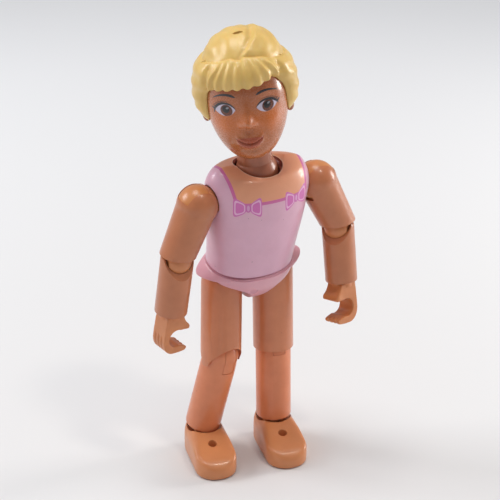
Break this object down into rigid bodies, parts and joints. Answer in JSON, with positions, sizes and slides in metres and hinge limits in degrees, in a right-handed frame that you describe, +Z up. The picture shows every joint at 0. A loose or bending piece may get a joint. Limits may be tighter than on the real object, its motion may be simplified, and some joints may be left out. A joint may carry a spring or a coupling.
{
  "type": "miniature doll",
  "caption": "Jointed miniature doll with a moulded cap of hair, ball and pin joints at neck, shoulders, elbows, hips, knees and ankles, and hands that grip.",
  "frame": {"origin": "middle of the bounding box's bottom face, on the surface that the soles stand on", "axes": "+Z up, the doll faces -Y, its left side is +X"},
  "size_m": [0.0638, 0.0338, 0.1372],
  "materials": {
    "hair": "moulded, satin",
    "suit": "moulded, satin",
    "neck": "moulded, satin",
    "face": "moulded, glossy",
    "inner_plastic": "moulded, satin",
    "warm_skin": "moulded, satin",
    "skin": "moulded, satin"
  },
  "bodies": {
    "pelvis": {"pelvis": "suit", "waist_post": "suit"},
    "torso": {"torso_front": "suit", "torso_back": "suit"},
    "neck_seat": {"neck_seat": "neck"},
    "neck_link": {"neck_link": "neck"},
    "head": {"neck": "neck", "head": "face", "hair": "hair"},
    "right_shoulder": {"shoulder_knuckle_right": "warm_skin"},
    "right_upper_arm": {"upper_arm_right": "skin", "shoulder_pin_right": "inner_plastic"},
    "right_elbow": {"elbow_knuckle_right": "warm_skin"},
    "right_forearm": {"forearm_right": "skin", "elbow_pin_right": "inner_plastic"},
    "right_hand": {"hand_right": "warm_skin"},
    "right_hip_link": {"hip_link_right": "inner_plastic"},
    "right_hip_peg": {"hip_peg_right": "inner_plastic"},
    "right_thigh": {"thigh_right": "skin", "knee_pin_right": "inner_plastic"},
    "right_shin": {"shin_right": "skin", "knee_tongue_right": "warm_skin"},
    "right_ankle": {"ankle_link_right": "inner_plastic"},
    "right_foot": {"foot_right": "warm_skin", "ankle_pin_right": "inner_plastic"},
    "left_shoulder": {"shoulder_knuckle_left": "warm_skin"},
    "left_upper_arm": {"upper_arm_left": "skin", "shoulder_pin_left": "inner_plastic"},
    "left_elbow": {"elbow_knuckle_left": "warm_skin"},
    "left_forearm": {"forearm_left": "skin", "elbow_pin_left": "inner_plastic"},
    "left_hand": {"hand_left": "warm_skin"},
    "left_hip_link": {"hip_link_left": "inner_plastic"},
    "left_hip_peg": {"hip_peg_left": "inner_plastic"},
    "left_thigh": {"thigh_left": "skin", "knee_pin_left": "inner_plastic"},
    "left_shin": {"shin_left": "skin", "knee_tongue_left": "warm_skin"},
    "left_ankle": {"ankle_link_left": "inner_plastic"},
    "left_foot": {"foot_left": "warm_skin", "ankle_pin_left": "inner_plastic"}
  },
  "joints": [
    {"name": "waist_turn", "type": "hinge", "parent": "pelvis", "child": "torso", "pos_m": [0.0001, 0.00492, 0.0647], "axis": [-0.0168, -0.2754, 0.9612], "range_deg": [-35, 35]},
    {"name": "neck_turn", "type": "hinge", "parent": "torso", "child": "neck_seat", "pos_m": [-0.00045, -0.00091, 0.0934], "axis": [-0.0168, -0.2754, 0.9612], "range_deg": [-40, 70]},
    {"name": "neck_nod", "type": "hinge", "parent": "neck_seat", "child": "neck_link", "pos_m": [-0.00045, -0.00091, 0.0934], "axis": [0.9092, -0.4043, -0.1], "range_deg": [-1, 16]},
    {"name": "neck_tilt", "type": "hinge", "parent": "neck_link", "child": "head", "pos_m": [-0.00045, -0.00091, 0.0934], "axis": [0.4127, 0.9068, 0.0864], "range_deg": [-3, 18]},
    {"name": "right_shoulder_swing", "type": "hinge", "parent": "torso", "child": "right_shoulder", "pos_m": [-0.01979, -0.00184, 0.08656], "axis": [0.9996, 0.019, 0.0229], "range_deg": [-60, 60]},
    {"name": "right_shoulder_raise", "type": "hinge", "parent": "right_shoulder", "child": "right_upper_arm", "pos_m": [-0.01979, -0.00184, 0.08656], "axis": [-0.022, 0.9901, 0.1385], "range_deg": [-4, 45]},
    {"name": "right_elbow_swivel", "type": "hinge", "parent": "right_upper_arm", "child": "right_elbow", "pos_m": [-0.02522, 0.00013, 0.07164], "axis": [0.1019, -0.1356, 0.9855], "range_deg": [-60, 60]},
    {"name": "right_elbow_bend", "type": "hinge", "parent": "right_elbow", "child": "right_forearm", "pos_m": [-0.02542, 0.0004, 0.06967], "axis": [0.9946, 0.0358, -0.0979], "range_deg": [-55, 2]},
    {"name": "right_wrist_turn", "type": "hinge", "parent": "right_forearm", "child": "right_hand", "pos_m": [-0.02716, 0.00199, 0.05263], "axis": [0.1009, -0.0923, 0.9906], "range_deg": [-90, 90]},
    {"name": "left_shoulder_swing", "type": "hinge", "parent": "torso", "child": "left_shoulder", "pos_m": [0.0192, -0.0011, 0.08745], "axis": [0.9996, 0.019, 0.0229], "range_deg": [-60, 60]},
    {"name": "left_shoulder_raise", "type": "hinge", "parent": "left_shoulder", "child": "left_upper_arm", "pos_m": [0.0192, -0.0011, 0.08745], "axis": [-0.0181, 0.9992, -0.0355], "range_deg": [-45, 8]},
    {"name": "left_elbow_swivel", "type": "hinge", "parent": "left_upper_arm", "child": "left_elbow", "pos_m": [0.02642, -0.00147, 0.07318], "axis": [-0.1452, 0.0325, 0.9889], "range_deg": [-60, 60]},
    {"name": "left_elbow_bend", "type": "hinge", "parent": "left_elbow", "child": "left_forearm", "pos_m": [0.02671, -0.00154, 0.0712], "axis": [0.6498, -0.7506, 0.1201], "range_deg": [-48, 8]},
    {"name": "left_wrist_turn", "type": "hinge", "parent": "left_forearm", "child": "left_hand", "pos_m": [0.02694, -0.00406, 0.05419], "axis": [-0.0134, 0.1466, 0.9891], "range_deg": [-90, 90]},
    {"name": "right_hip_flex", "type": "hinge", "parent": "pelvis", "child": "right_hip_link", "pos_m": [-0.00805, 0.00713, 0.05653], "axis": [0.9984, 0, 0.0574], "range_deg": [-45, 15]},
    {"name": "right_hip_spread", "type": "hinge", "parent": "right_hip_link", "child": "right_hip_peg", "pos_m": [-0.00805, 0.00713, 0.05653], "axis": [0.0085, 0.989, -0.1476], "range_deg": [-5, 18]},
    {"name": "right_hip_turn", "type": "hinge", "parent": "right_hip_peg", "child": "right_thigh", "pos_m": [-0.00805, 0.00713, 0.05653], "axis": [0.0895, 0.1462, 0.9852], "range_deg": [-13, 13]},
    {"name": "right_knee_bend", "type": "hinge", "parent": "right_thigh", "child": "right_shin", "pos_m": [-0.01004, 0.00388, 0.03466], "axis": [0.9731, 0.1981, -0.1178], "range_deg": [-18, 55]},
    {"name": "right_ankle_turn", "type": "hinge", "parent": "right_shin", "child": "right_ankle", "pos_m": [-0.01375, 0.00842, 0.0116], "axis": [0.1562, -0.1907, 0.9691], "range_deg": [-20, 20]},
    {"name": "right_foot_pitch", "type": "hinge", "parent": "right_ankle", "child": "right_foot", "pos_m": [-0.01375, 0.00842, 0.0116], "axis": [0.9816, -0.1908, 0], "range_deg": [-8, 15]},
    {"name": "left_hip_flex", "type": "hinge", "parent": "pelvis", "child": "left_hip_link", "pos_m": [0.00912, 0.00713, 0.05752], "axis": [0.9984, 0, 0.0574], "range_deg": [-45, 15]},
    {"name": "left_hip_spread", "type": "hinge", "parent": "left_hip_link", "child": "left_hip_peg", "pos_m": [0.00912, 0.00713, 0.05752], "axis": [0.0035, 0.9981, -0.0609], "range_deg": [-20, 0]},
    {"name": "left_hip_turn", "type": "hinge", "parent": "left_hip_peg", "child": "left_thigh", "pos_m": [0.00912, 0.00713, 0.05752], "axis": [0.0158, 0.0609, 0.998], "range_deg": [-13, 13]},
    {"name": "left_knee_bend", "type": "hinge", "parent": "left_thigh", "child": "left_shin", "pos_m": [0.00877, 0.00577, 0.03537], "axis": [0.994, -0.1088, -0.0091], "range_deg": [0, 75]},
    {"name": "left_ankle_turn", "type": "hinge", "parent": "left_shin", "child": "left_ankle", "pos_m": [0.00842, 0.00453, 0.0116], "axis": [0.0149, 0.0522, 0.9985], "range_deg": [-20, 20]},
    {"name": "left_foot_pitch", "type": "hinge", "parent": "left_ankle", "child": "left_foot", "pos_m": [0.00842, 0.00453, 0.0116], "axis": [0.9816, -0.1908, 0], "range_deg": [-8, 15]}
  ]
}
